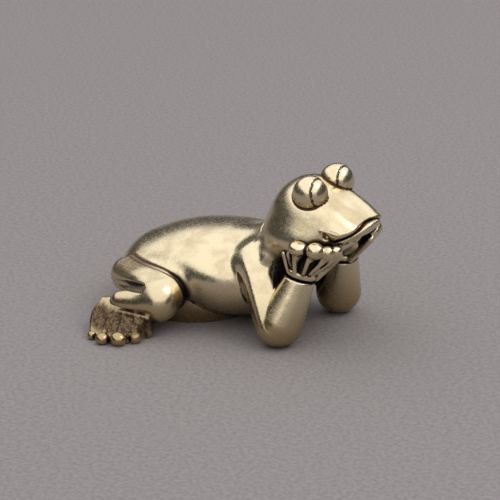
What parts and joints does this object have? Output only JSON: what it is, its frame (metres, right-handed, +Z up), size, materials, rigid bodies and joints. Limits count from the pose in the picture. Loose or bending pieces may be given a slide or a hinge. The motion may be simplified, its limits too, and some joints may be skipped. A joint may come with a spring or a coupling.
{
  "type": "brass frog figurine",
  "caption": "Small cast brass frog lying on its belly with its chin held in both hands and elbows on the table, as a desk or tea tray ornament.",
  "frame": {"origin": "on the table under the middle of the footprint", "axes": "+X forward, the way the frog looks, +Y to its left, +Z up"},
  "size_m": [0.0462, 0.0494, 0.0267],
  "materials": {
    "brass": "cast and polished pale brass, bright on the high places, with reddish brown patina in the grooves and near black in the deepest recesses"
  },
  "bodies": {
    "root": {"frog": "brass"}
  },
  "joints": []
}
